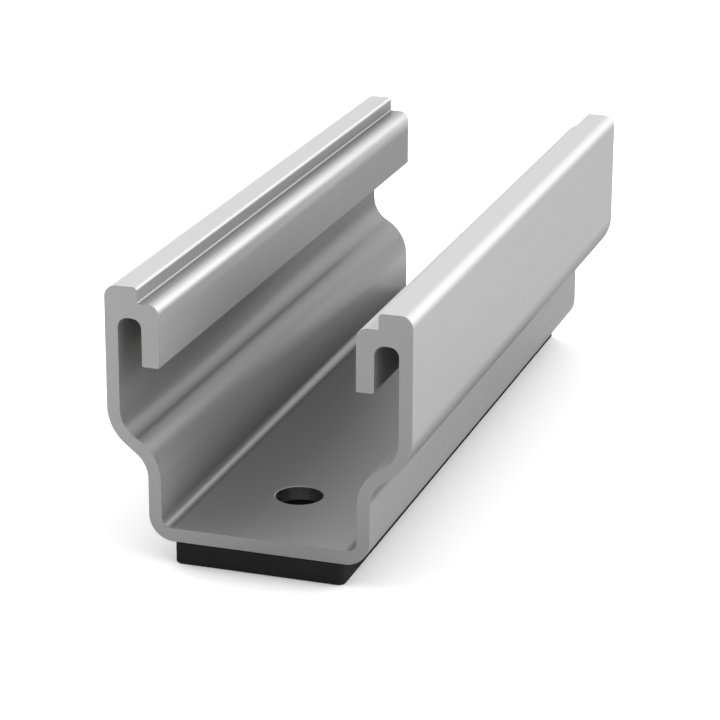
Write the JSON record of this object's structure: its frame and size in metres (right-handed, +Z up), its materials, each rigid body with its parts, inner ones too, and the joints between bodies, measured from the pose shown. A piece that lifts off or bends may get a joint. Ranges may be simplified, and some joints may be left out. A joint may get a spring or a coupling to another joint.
{
  "type": "solar mini rail",
  "caption": "Short open-topped aluminium mounting rail with stepped walls, inward-hooked top edges, floor screw holes and a black rubber sealing pad under its floor.",
  "frame": {"origin": "centre of the sealing pad's underside, midway along the rail", "axes": "+X across the channel, +Y along the rail, +Z up out of the channel's mouth"},
  "size_m": [0.041, 0.105, 0.037],
  "materials": {
    "rail": "satin mill finish, drawn lines along the length, sawn ends",
    "sealing_pad": "matt black EPDM with cut edges"
  },
  "bodies": {
    "root": {"rail": "rail", "sealing_pad": "sealing_pad"}
  },
  "joints": []
}
